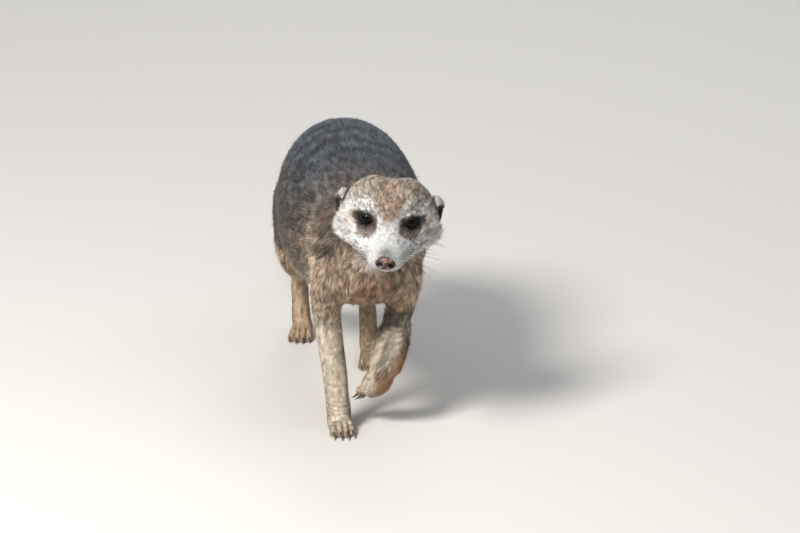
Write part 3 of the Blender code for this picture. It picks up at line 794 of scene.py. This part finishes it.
def body_colours(points, normals):
    """Brown in front and darker, blue-grey behind, with a rusty breast and dark bands on the back. The blue
    behind is painted sky-lit shade; the rear's darkness and the breast's darker middle are partly painted
    shade.
    """
    own = points - MOVED
    along = own[:, 1]
    facing = normals[:, 2] + 0.12 * noise(points, 9, 5)
    rear = step(20, 90, along)
    patchy = noise(points, 12, 17) + 0.5 * noise(points, 6, 23)
    chest = step(46, 8, along) * step(0.75, 0, normals[:, 2])
    aside = step(3, 24, np.abs(own[:, 0] - 3) + 5 * noise(points, 9, 20))
    phase = (along + 5 * noise(points, 15, 8) + 0.2 * np.abs(own[:, 0])) / BAND
    broken = 0.9 * noise(points, 8, 9) + 0.4 * noise(points, 3, 10)
    bar = step(-0.1, 0.8, np.cos(math.tau * phase) + broken)
    barred = step(48, 80, along) * step(184, 170, along) * step(-0.05, 0.55, normals[:, 2])
    return mixed(
        SHOULDER,
        # partly the rear's own darker coat, partly painted shade
        (RUMP_AND_SHADE, rear),
        (WARM_LOCK, 0.5 * step(0, 0.7, patchy) * (1 - rear)),
        (DULL_LOCK, 0.2 * step(0, -0.7, patchy)),
        (BACK_GREY, step(0.05, 0.85, facing) * (0.3 + 0.4 * rear)),
        # painted shade: a sky-lit blue over the upward-facing rear of the back
        (BACK_SKY_SHADE, 0.9 * rear * step(0.15, 0.85, facing)),
        (BUFF, 0.75 * step(-0.15, -0.8, facing)),
        # the breast's darker middle is partly painted shade
        (mixed(BREAST_AND_SHADE, (BREAST_SIDE, aside)), 0.9 * chest),
        (TAN, 0.45 * step(150, 185, along)),
        (BAND_BLACK, 0.85 * bar * barred),
    )


def tail_colours(points, normals):
    along = points[:, 1] - MOVED[1]
    return mixed(
        TAIL,
        (BUFF, 0.5 * step(0.2, -0.6, normals[:, 2])),
        (BROWN, 0.35 * step(0.1, 0.8, normals[:, 2])),
        (DARK, 0.96 * step(316, 332, along + 4 * noise(points, 3, 6))),
    )


def raised(own):
    """1 on the raised forearm and its paw."""
    return step(0, 6, own[:, 0]) * step(45, 35, own[:, 1]) * step(64, 52, own[:, 2])


def ripples(points):
    """-1 to 1 in fine wavy rings round the forelegs, below the elbow."""
    own = points - MOVED
    fore = step(80, 60, own[:, 1]) * step(80, 64, own[:, 2])
    fore = fore * (1 - 0.7 * raised(own))
    return fore * np.sin((own[:, 2] + 1.8 * noise(points, 6, 15)) * math.tau / RIPPLE)


def leg_colours(points, normals):
    """Tan above and pale below, with painted bounce light from the ground: rusty soles, and a rusty under
    side and lower part on the raised forearm.
    """
    own = points - MOVED
    fore = step(80, 60, own[:, 1])
    colour = mixed(HIND_LEG, (CREAM, fore)) * (0.92 + 0.26 * fore * ripples(points))[:, None]
    above = step(64, 98, own[:, 2] + 5 * noise(points, 8, 16))
    # Painted bounce light: the raised forearm's under side and its parts near the floor are tinted rusty as
    # if lit from the ground.
    under = 0.55 * normals[:, 0] - 0.83 * normals[:, 2] + 0.25 * noise(points, 5, 18)
    low = np.maximum(step(-0.7, 0.5, under), 0.75 * step(34, 18, own[:, 2]))
    colour = mixed(
        colour,
        (mixed(THIGH, (UPPER_ARM, fore)), 0.8 * above),
        (UNDER_ARM_BOUNCE, 0.85 * raised(own) * low),
    )
    for paw in PAWS.values():
        aside, ahead, below = on_paw(points, paw)
        near = step(26, 14, np.sqrt(aside**2 + ahead**2 + below**2))
        toes = near * step(3, 12, ahead)
        groove = sum(peak((aside - gap) / 0.8) for gap in TOE_GAPS)
        colour = mixed(
            colour,
            # painted bounce light: each paw's side that faces its sole is tinted rusty
            (SOLE_BOUNCE, 0.85 * near * step(0.2, 0.9, normals @ paw_frame(paw)[3])),
            (TOE_TAN, 0.5 * toes),
            # painted shade: the grooves between the toes are darkened
            (BROWN, 0.6 * toes * np.clip(groove, 0, 1)),
        )
    return colour


def ear_edge(points, normals):
    """1 on the front and upper edge of an ear."""
    across, _, up = head_measures(to_head(points))
    facing = normals @ (TURN @ (0, -1, 0))
    rise = up - EAR_AT[2] + 1.2 * noise(points, 1.5, 61)
    inward = EAR_AT[0] - across + 1 * noise(points, 1.5, 62)
    return np.maximum(step(2, 6.5, rise), step(-2.6, 0.4, inward)) * step(-0.3, 0.4, facing)


def ear_colours(points, normals):
    """Black, with a pale edge at the front and the top."""
    return mixed(EAR_BLACK, (EAR_PALE, 0.9 * ear_edge(points, normals)))


PAINT = dict(head=face_colours, body=body_colours, tail=tail_colours, leg=leg_colours, ear=ear_colours)
GROUPS = list(PAINT)


def group_of(node):
    """Which of the groups that share their markings a solid is in."""
    if node in ("trunk", "neck"):
        return "body"
    return "leg" if "leg" in node or node in PAWS else node[:4]


def coat_colours(points, normals, parts):
    """The markings, with each group's own faded into the next over a few millimetres."""
    colours = np.zeros((len(points), 3))
    for paint, share in zip(PAINT.values(), parts.T):
        mine = share > 0.01
        if mine.any():
            colours[mine] += paint(points[mine], normals[mine]) * share[mine, None]
    return colours


# ---- Coat
def roots_on(skin, shown):
    """Where tufts grow on a skin: places with what they need, each as an array."""
    a, b, c = skin.points[skin.tris.T]
    area = np.linalg.norm(np.cross(b - a, c - a), axis=1) / 2
    density = skin.coat[skin.tris, DENSITY].mean(axis=1) * shown[skin.tris].min(axis=1)
    total = np.cumsum(area * density)
    count = int(total[-1])
    picks = (np.arange(count) + RNG.random(count)) * total[-1] / count
    chosen = skin.tris[np.minimum(np.searchsorted(total, picks), len(total) - 1)]
    u, v = RNG.random(count), RNG.random(count)
    over = u + v > 1
    u[over], v[over] = 1 - u[over], 1 - v[over]
    weights = np.stack([1 - u - v, u, v], axis=-1)[..., None]

    def at(values):
        return (values[chosen] * weights).sum(axis=1)

    return SimpleNamespace(
        points=at(skin.points),
        normals=unit(at(skin.normals)),
        flow=unit(at(skin.flow)),
        coat=at(skin.coat),
        parts=at(skin.parts),
        kinds=skin.kinds[chosen[:, 0]],
    )


def some_of(roots, chosen):
    return SimpleNamespace(**{name: values[chosen] for name, values in vars(roots).items()})


def bare_places(skin):
    """1 where hair grows and 0 on eyes, lids, nose and soles."""
    shown = np.ones(len(skin.points))
    for eye in EYES.values():
        offset = skin.points - eye.centre
        near = np.linalg.norm(offset, axis=1) < eye.radius + 3
        shown[near] *= step(1.05, 1.25, eye.opening(offset[near])) > 0.5
    nose = (skin.head - NOSE_AT) / (np.array(NOSE_HALF) + 0.4)
    shown *= np.linalg.norm(nose, axis=1) > 1
    shown *= ~((skin.points[:, 2] < 1) & (skin.normals[:, 2] < -0.5))
    return shown


def unwrapped(points, node, nodes):
    """Each point's place on an unwrap of the skin: round its solid's own line and along it."""
    start, end = AXES[node]
    line = unit(end - start)
    spare = np.array([1, 0, 0]) if abs(line[0]) < 0.8 else np.array([0, 0, 1])
    side = unit(np.cross(line, spare))
    rise = np.cross(side, line)
    offset = points - start
    reach = offset @ line
    low, high = np.percentile(reach, (0.5, 99.5))
    around = np.arctan2(offset @ side, offset @ rise) / math.tau + 0.5
    along = np.clip((reach - low) / (high - low), 0, 1)
    share = (nodes.index(node) + 0.02 + 0.96 * along) / len(nodes)
    return np.stack([0.01 + 0.97 * around, 0.005 + 0.985 * share], axis=-1)


LOCKS = ((1.9, 0.5), (5, 0.3))  # the size of a lock, and how far tips are drawn to its middle


def locks_at(roots):
    """For each size of lock: the way to its middle line, how near its edge, and its own tone."""
    made = []
    for size, _ in LOCKS:
        centre = lock_centres(roots.points, size, 31 + int(size))
        toward = centre - roots.points
        for way in (roots.normals, roots.flow):
            toward = toward - way * (toward * way).sum(axis=1, keepdims=True)
        edge = step(0.12, 0.55, np.linalg.norm(toward, axis=1) / size)
        made.append((toward, edge, random_at(np.floor(centre * 16), 71) * 2 - 1))
    return made


# A tuft's points are its root, its two sides, and its tip, and here each is (across, along).
TUFT_UV = np.array([[0.5, 0], [0, 0.5], [1, 0.5], [0.5, 1]])
TUFT_FACES = np.array([[0, 1, 2], [1, 3, 2]])
TUFT_PATCH = 0.003  # the width of a tuft's own patch of the unwrap


def turned(way, normals, angle):
    """Ways along the skin, lifted off it by an angle each."""
    return way * np.cos(angle)[:, None] + normals * np.sin(angle)[:, None]


def tuft_shapes(roots, locks):
    """The points of each tuft: a leaf, widest half-way, that bends down towards its tip."""
    count = len(roots.points)
    guard = RNG.random(count) < 0.04
    normals, flow, size = roots.normals, roots.flow, roots.coat[:, LENGTH]
    length = size * RNG.uniform(0.72, 1.22, count) * (1 + 0.25 * guard)
    lift = np.radians(roots.coat[:, LIFT]) * RNG.uniform(0.55, 1.45, count) * (1 + 0.45 * guard)
    lift = lift * (1 + 0.35 * ripples(roots.points) * roots.parts[:, GROUPS.index("leg")])
    stray = 0.14 * RNG.normal(size=count)
    curly = step(100, 30, roots.points[:, 1] - MOVED[1]) * np.clip(size / 8, 0, 1)
    sway = (0.22 + 0.3 * curly) * noise(roots.points, 7, 21)
    sway += 0.14 * noise(roots.points, 2.6, 22) + stray
    way = unit(flow + np.cross(normals, flow) * sway[:, None])
    rising = turned(way, normals, lift)
    lying = turned(way, normals, lift * RNG.uniform(-0.1, 0.5, count))
    root = roots.points - normals * ROOT_DEPTH
    mid = root + rising * (length * 0.5)[:, None]
    tip = mid + lying * (length * 0.5)[:, None]
    reach = np.clip(size / 9, 0.12, 1)[:, None]
    for (toward, _, _), (_, pull) in zip(locks, LOCKS):
        mid += toward * pull * 0.35 * reach
        tip += toward * pull * reach
    roll = RNG.normal(0, 0.3, count)
    side = turned(unit(np.cross(normals, mid - root)), normals, roll)
    width = roots.coat[:, WIDTH] * RNG.uniform(0.7, 1.3, count) * (1 - 0.4 * guard)
    half = side * (width / 2)[:, None]
    shape = np.stack([root, mid - half, mid + half, tip], axis=1)
    shape[..., 2] = np.maximum(shape[..., 2], 0.05)
    return shape


def tuft_colours(roots, shape, locks):
    """Agouti hair: dark at the root, banded half-way, and a dark or a pale tip."""
    count = len(roots.points)
    grizzle = np.clip(roots.coat[:, GRIZZLE], 0, 1)
    # A marking is where the tips that show it are, not where the hair grows.
    middle, end = (shape[:, 1] + shape[:, 2]) / 2, shape[:, 3]
    inner = coat_colours((middle + roots.points) / 2, roots.normals, roots.parts)
    outer = coat_colours((middle + end) / 2, roots.normals, roots.parts)
    head = roots.parts[:, GROUPS.index("head")]
    long = np.clip(roots.coat[:, LENGTH] / 8, 0.4 + 0.3 * head, 1)
    (_, fine_edge, fine_tone), (_, edge, tone) = locks
    # Painted shade: tufts near the edges of locks are darkened, as in the gaps between locks.
    gap_shade = (1 - (0.03 + 0.32 * long) * fine_edge) * (1 - 0.46 * edge * long)
    speckle = noise(roots.points, 0.95, 43) * head + noise(roots.points, 1.9, 44) * (1 - head)
    speckle = speckle * (0.2 + (1.5 - 0.45 * head) * grizzle)
    shade = 1.18 + 0.07 * noise(roots.points, 16, 42) + (0.08 + 0.3 * long**2) * fine_tone
    shade = shade + 0.42 * tone * long**2
    shade = (shade + speckle + RNG.normal(0, 1, count) * (0.07 + 0.15 * grizzle)) * gap_shade
    warm = RNG.normal(0, 0.04, count) * (0.4 + grizzle)
    shade = np.clip(shade, 0.3, 2.2)[:, None] * np.stack([1 + warm, 1 + 0 * warm, 1 - warm], axis=-1)
    pick = RNG.random(count)
    dark_tip = (pick < 0.03 + 0.27 * grizzle) * 0.7
    pale_tip = (pick > 1 - 0.24 * grizzle) * 0.5
    root = inner * shade * (0.82 - 0.2 * grizzle)[:, None]
    mid = (inner + outer) / 2 * shade * 0.98
    pale = np.clip(outer * 1.8 + 0.04, 0, 0.8)
    tip = mixed(outer * shade * 1.06, (DARK, dark_tip), (pale, pale_tip))
    return np.stack([root, mid, mid, tip], axis=1)


def make_coat_piece(name, slot, roots, nodes):
    if len(roots.points) > MOST_TUFTS:
        roots = some_of(roots, np.sort(RNG.choice(len(roots.points), MOST_TUFTS, replace=False)))
    count = len(roots.points)
    locks = locks_at(roots)
    shape = tuft_shapes(roots, locks)
    faces = (np.arange(count)[:, None, None] * len(TUFT_UV) + TUFT_FACES).reshape(-1, 3)
    obj = mesh_object(name, shape.reshape(-1, 3), faces)
    dress(obj, tuft_colours(roots, shape, locks).reshape(-1, 3), coat_material(), slot)
    along = obj.data.attributes.new("along", "FLOAT", "POINT")
    along.data.foreach_set("value", np.tile(TUFT_UV[:, 1].astype(np.float32), count))
    place = np.zeros((count, 2))
    for node in nodes:
        mine = among(roots.kinds, node)
        if mine.any():
            place[mine] = unwrapped(roots.points[mine], node, nodes)
    uv = place[:, None] + (TUFT_UV - (0.5, 0)) * TUFT_PATCH
    layer = obj.data.uv_layers.new(name="OFBake")
    layer.data.foreach_set("uv", uv.reshape(-1, 2)[faces.ravel()].astype(np.float32).ravel())
    soften_normals(obj, roots, shape)


def soften_normals(obj, roots, shape, share=0.74):
    """Turns each tuft's normals most of the way to the skin's, so that the coat shades as one."""
    side = shape[:, 2] - shape[:, 1]
    lower = unit(np.cross(side, shape[:, 1] - shape[:, 0]))
    upper = unit(np.cross(side, shape[:, 3] - shape[:, 1]))
    own = np.stack([lower, lower + upper, lower + upper, upper], axis=1)
    own *= np.sign((own * roots.normals[:, None]).sum(axis=2, keepdims=True) + 1e-9)
    normals = unit(unit(own) * (1 - share) + roots.normals[:, None] * share)
    obj.data.normals_split_custom_set_from_vertices(normals.reshape(-1, 3).tolist())


def make_coat(skin):
    roots = roots_on(skin, bare_places(skin))
    along = roots.points[:, 1] - MOVED[1]
    for name, (slot, nodes, (start, end)) in COAT_PIECES.items():
        mine = among(roots.kinds, *nodes) & (along >= start) & (along < end)
        make_coat_piece(name, slot, some_of(roots, mine), nodes)


# ---- Ears, claws and whiskers
def make_ear(word):
    """The ear's shell, smooth, in dark skin, with short hair on it."""
    shell = mesh_object("shell", *welded(f"ear_{word}"))
    remesh(shell, EAR_VOXEL)
    tris = triangles(shell.data)
    edges = edges_of(tris)
    points = spread(coordinates(shell.data), edges, 10)
    bpy.data.objects.remove(shell, do_unlink=True)
    normals = vertex_normals(points, tris)
    obj = mesh_object(f"ear_shell_{word}", points, tris)
    dress(obj, ear_colours(points, normals), skin_material(), "ear_skin", f"ear_{word}")
    ear = SimpleNamespace(points=points, tris=tris, normals=normals)
    back = TURN @ (0, 0.75, 0.35)
    flow = back - normals * (normals @ back)[:, None]
    ear.flow = unit(spread(unit(flow), edges, 6))
    ear.coat = np.tile(EAR_COAT, (len(points), 1))
    ear.coat[:, LENGTH] += 1.6 * ear_edge(points, normals)
    ear.parts = np.tile(np.eye(len(GROUPS))[GROUPS.index("ear")], (len(points), 1))
    ear.kinds = np.full(len(points), FLESH.index("head"))
    roots = roots_on(ear, np.ones(len(points)))
    make_coat_piece(f"coat_ear_{word}", "ear_skin", roots, ("head",))


def claw_path(paw, aside, reach):
    """Points and radii of one claw, as in the solids."""
    middle, forward, across, sole = paw_frame(paw)
    length, _, height = paw["size"]
    tip = middle + forward * (length * TOE_START + reach + TOE) + across * aside * TOE_FAN
    tip = tip + sole * (height * 0.57 - 1.1)
    share = np.linspace(-0.22, 1, 14)
    ahead = np.maximum(share, 0)
    path = tip + np.outer(paw["claw"] * share, forward)
    path = path + np.outer(CLAW_HOOK * paw["claw"] * ahead**2, sole)
    path = path + np.outer(aside * 0.1 * share, across)
    radii = np.maximum(CLAW_THICK * (1 - 0.9 * ahead**1.4), 0.07) * 0.88
    path[:, 2] = np.maximum(path[:, 2], radii)
    return path, radii


def make_claws(node):
    claws = []
    for aside, reach in zip(TOE_SPREAD, TOE_FORWARD):
        path, radii = claw_path(PAWS[node], aside, reach)
        claws.append(tube(path, radii, CLAW_SIDES))
    share = np.tile(np.repeat(np.linspace(0, 1, len(path)), CLAW_SIDES), len(claws))
    obj = mesh_object(f"claws_{node}", *joined(claws))
    dress(obj, mixed(CLAW_BLACK, (CLAW_TIP, share**2)), horn_material(), "leg_coat")


WHISKER_ROWS = ((-22.5, -12.5), (-22, -14.5), (-21, -16.5), (-19.5, -18.2))


def whisker_starts():
    """Each whisker's place and way in the head's frame, its length, and how much it sags."""
    for side in (-1, 1):
        for row, (along, up) in enumerate(WHISKER_ROWS):
            for k in range(4):
                place = (side * 9, along + 2.6 * k, up + 0.5 * k)
                way = (side * (0.85 + 0.05 * k), 0.3 + 0.12 * k, 0.2 - 0.22 * row)
                yield place, way, 21 + 2.5 * k - 1.5 * row, 0.26
        for k in range(3):
            yield (side * (12 + 2 * k), -2, 10.5), (side * (0.35 + 0.2 * k), 0.25, 0.85), 14, 0.1
            yield (side * 27, 4 + 3 * k, -14), (side * 0.8, 0.5, -0.25), 15, 0.2


def make_whiskers(skin):
    """Stiff hairs on the lips, the cheeks and over the eyes, each a thin tapered tube."""
    surface = BVHTree.FromPolygons(skin.points.tolist(), skin.tris.tolist())
    share = np.linspace(0, 1, 9)
    whiskers = []
    for place, way, length, sag in whisker_starts():
        way = TURN @ unit(way + RNG.normal(0, 0.09, 3))
        hit = surface.find_nearest(Vector(from_head(place)))[0]
        root = np.array(hit) - way * 0.8
        path = root + way * (length * RNG.uniform(0.85, 1.1) * share)[:, None]
        path[:, 2] -= sag * length * share**2
        whiskers.append(tube(path, 0.11 - 0.085 * share, 4))
    dress(mesh_object("whiskers", *joined(whiskers)), WHISKER, horn_material(), "face_coat")


# ---- Materials
def wired(made, node, inputs):
    """Gives a node's inputs their values, or links them to other nodes' outputs."""
    for name, value in inputs.items():
        if isinstance(value, bpy.types.NodeSocket):
            made.node_tree.links.new(value, node.inputs[name])
        else:
            node.inputs[name].default_value = value
    return node.outputs


def add_node(made, kind, inputs, **settings):
    """A new node of a material, and the outputs it gives."""
    node = made.node_tree.nodes.new(f"ShaderNode{kind}")
    for name, value in settings.items():
        setattr(node, name, value)
    return wired(made, node, inputs)


def new_material(name, inputs):
    """A material with a principled shader."""
    made = bpy.data.materials.new(name)
    made.use_nodes = True
    wired(made, made.node_tree.nodes["Principled BSDF"], inputs)
    return made


def coloured(name, spot, amount, inputs, relief=None):
    """A material in a piece's own colours, lighter and darker by spots of a size in millimetres.
    A relief is a texture, which of its outputs, and its size and height."""
    made = new_material(name, inputs)
    shader = made.node_tree.nodes["Principled BSDF"]
    colour = add_node(made, "Attribute", {}, attribute_name="coat")["Color"]
    where = add_node(made, "TexCoord", {})["Object"]
    grain = add_node(made, "TexNoise", {"Scale": 1 / (spot * MM), "Detail": 3, "Vector": where})
    level = {"Value": grain["Fac"], "To Min": 1 - amount, "To Max": 1 + amount}
    level = add_node(made, "MapRange", level)["Result"]
    scaled = add_node(made, "VectorMath", {"Vector": colour, "Scale": level}, operation="SCALE")
    wired(made, shader, {"Base Color": scaled["Vector"]})
    if relief:
        kind, output, size, height = relief
        texture = add_node(made, kind, {"Scale": 1 / (size * MM), "Vector": where})[output]
        bump = {"Strength": 1, "Distance": height * MM, "Height": texture}
        wired(made, shader, {"Normal": add_node(made, "Bump", bump)["Normal"]})
    return made


@cache
def coat_material():
    """Hair, rough at the root and smoother towards the tip."""
    shine = {"Specular IOR Level": 0.25, "Sheen Weight": 0.08, "Sheen Roughness": 0.5}
    made = coloured("coat hair", 2.5, 0.1, shine)
    along = add_node(made, "Attribute", {}, attribute_name="along")["Fac"]
    rough = add_node(made, "MapRange", {"Value": along, "To Min": 0.85, "To Max": 0.58})
    wired(made, made.node_tree.nodes["Principled BSDF"], {"Roughness": rough["Result"]})
    return made


@cache
def skin_material():
    dull = {"Roughness": 0.85, "Specular IOR Level": 0.2}
    return coloured("skin under the coat", 0.6, 0.45, dull, ("TexNoise", "Fac", 0.5, 0.25))


@cache
def leather_material():
    pebbles = ("TexVoronoi", "Distance", 0.45, 0.1)
    return coloured("bare damp skin", 0.8, 0.18, {"Roughness": 0.42}, pebbles)


@cache
def eye_material():
    return coloured("wet eye", 0.5, 0.15, {"Roughness": 0.06, "Specular IOR Level": 0.15})


@cache
def horn_material():
    return coloured("horn", 0.7, 0.25, {"Roughness": 0.38})


# ---- Floor, light and camera
AZIMUTH, ELEVATION = -7.2, 18
AIM = (22.6, 26, 94.4)  # what the middle of the picture shows, in the solids' own measure
DISTANCE, LENS = 5.097, 373.8


def directions(azimuth, elevation):
    """(right, up, back) of a camera that looks along +Y at azimuth 0."""
    a, e = math.radians(azimuth), math.radians(elevation)
    back = Vector((math.sin(a) * math.cos(e), -math.cos(a) * math.cos(e), math.sin(e)))
    right = Vector((math.cos(a), math.sin(a), 0))
    return right, back.cross(right), back


def place_camera():
    right, up, back = directions(AZIMUTH, ELEVATION)
    data = bpy.data.cameras.new("camera")
    data.lens = LENS
    camera = add_object("camera", data)
    matrix = Matrix((right, up, back)).transposed().to_4x4()
    matrix.translation = Vector((np.array(AIM) + MOVED) * MM) + back * DISTANCE
    camera.matrix_world = matrix
    bpy.context.scene.camera = camera


def add_light(name, azimuth, elevation, distance, size, power, colour):
    data = bpy.data.lights.new(name, "AREA")
    data.shape = "DISK"
    data.size = size
    data.energy = power
    data.color = colour
    light = add_object(name, data)
    _, _, back = directions(azimuth, elevation)
    light.location = Vector((0, -0.05, 0.1)) + back * distance
    light.rotation_mode = "QUATERNION"
    light.rotation_quaternion = (-back).to_track_quat("-Z", "Y")


def light_studio():
    add_light("key", -46, 43, 1.6, 0.5, 34, (1, 0.97, 0.93))
    add_light("fill", 75, 55, 1.9, 1.2, 4, (0.92, 0.96, 1))
    add_light("back", 165, 42, 1.7, 0.9, 7, (0.95, 0.97, 1))
    world = bpy.data.worlds.new("studio")
    bpy.context.scene.world = world
    world.use_nodes = True
    wired(world, world.node_tree.nodes["Background"], {"Color": (0.86, 0.88, 0.92, 1), "Strength": 0.42})


def make_floor(half=6000, level=-0.02):
    corners = [(-half, -half, level), (half, -half, level), (half, half, level), (-half, half, level)]
    floor = mesh_object("floor", corners, [(0, 1, 2, 3)])
    looks = {"Base Color": (0.62, 0.6, 0.57, 1), "Roughness": 0.9}
    floor.data.materials.append(new_material("floor", looks))


def main():
    skin = Skin()
    body = skin.object
    body.data.vertices.foreach_set("co", (skin.points * MM).astype(np.float32).ravel())
    body.data.update()
    body.data.shade_smooth()
    colours = coat_colours(skin.points, skin.normals, skin.parts) * SKIN_SHADE
    dress(body, colours, skin_material(), "body_coat", *FLESH)
    make_coat(skin)
    for word, eye in EYES.items():
        make_eye(word, eye)
        make_lids(word, eye)
        make_ear(word)
    make_nose()
    for node in PAWS:
        make_claws(node)
    make_whiskers(skin)
    make_floor()
    light_studio()
    place_camera()
    bpy.context.scene.view_settings.view_transform = "Standard"


main()
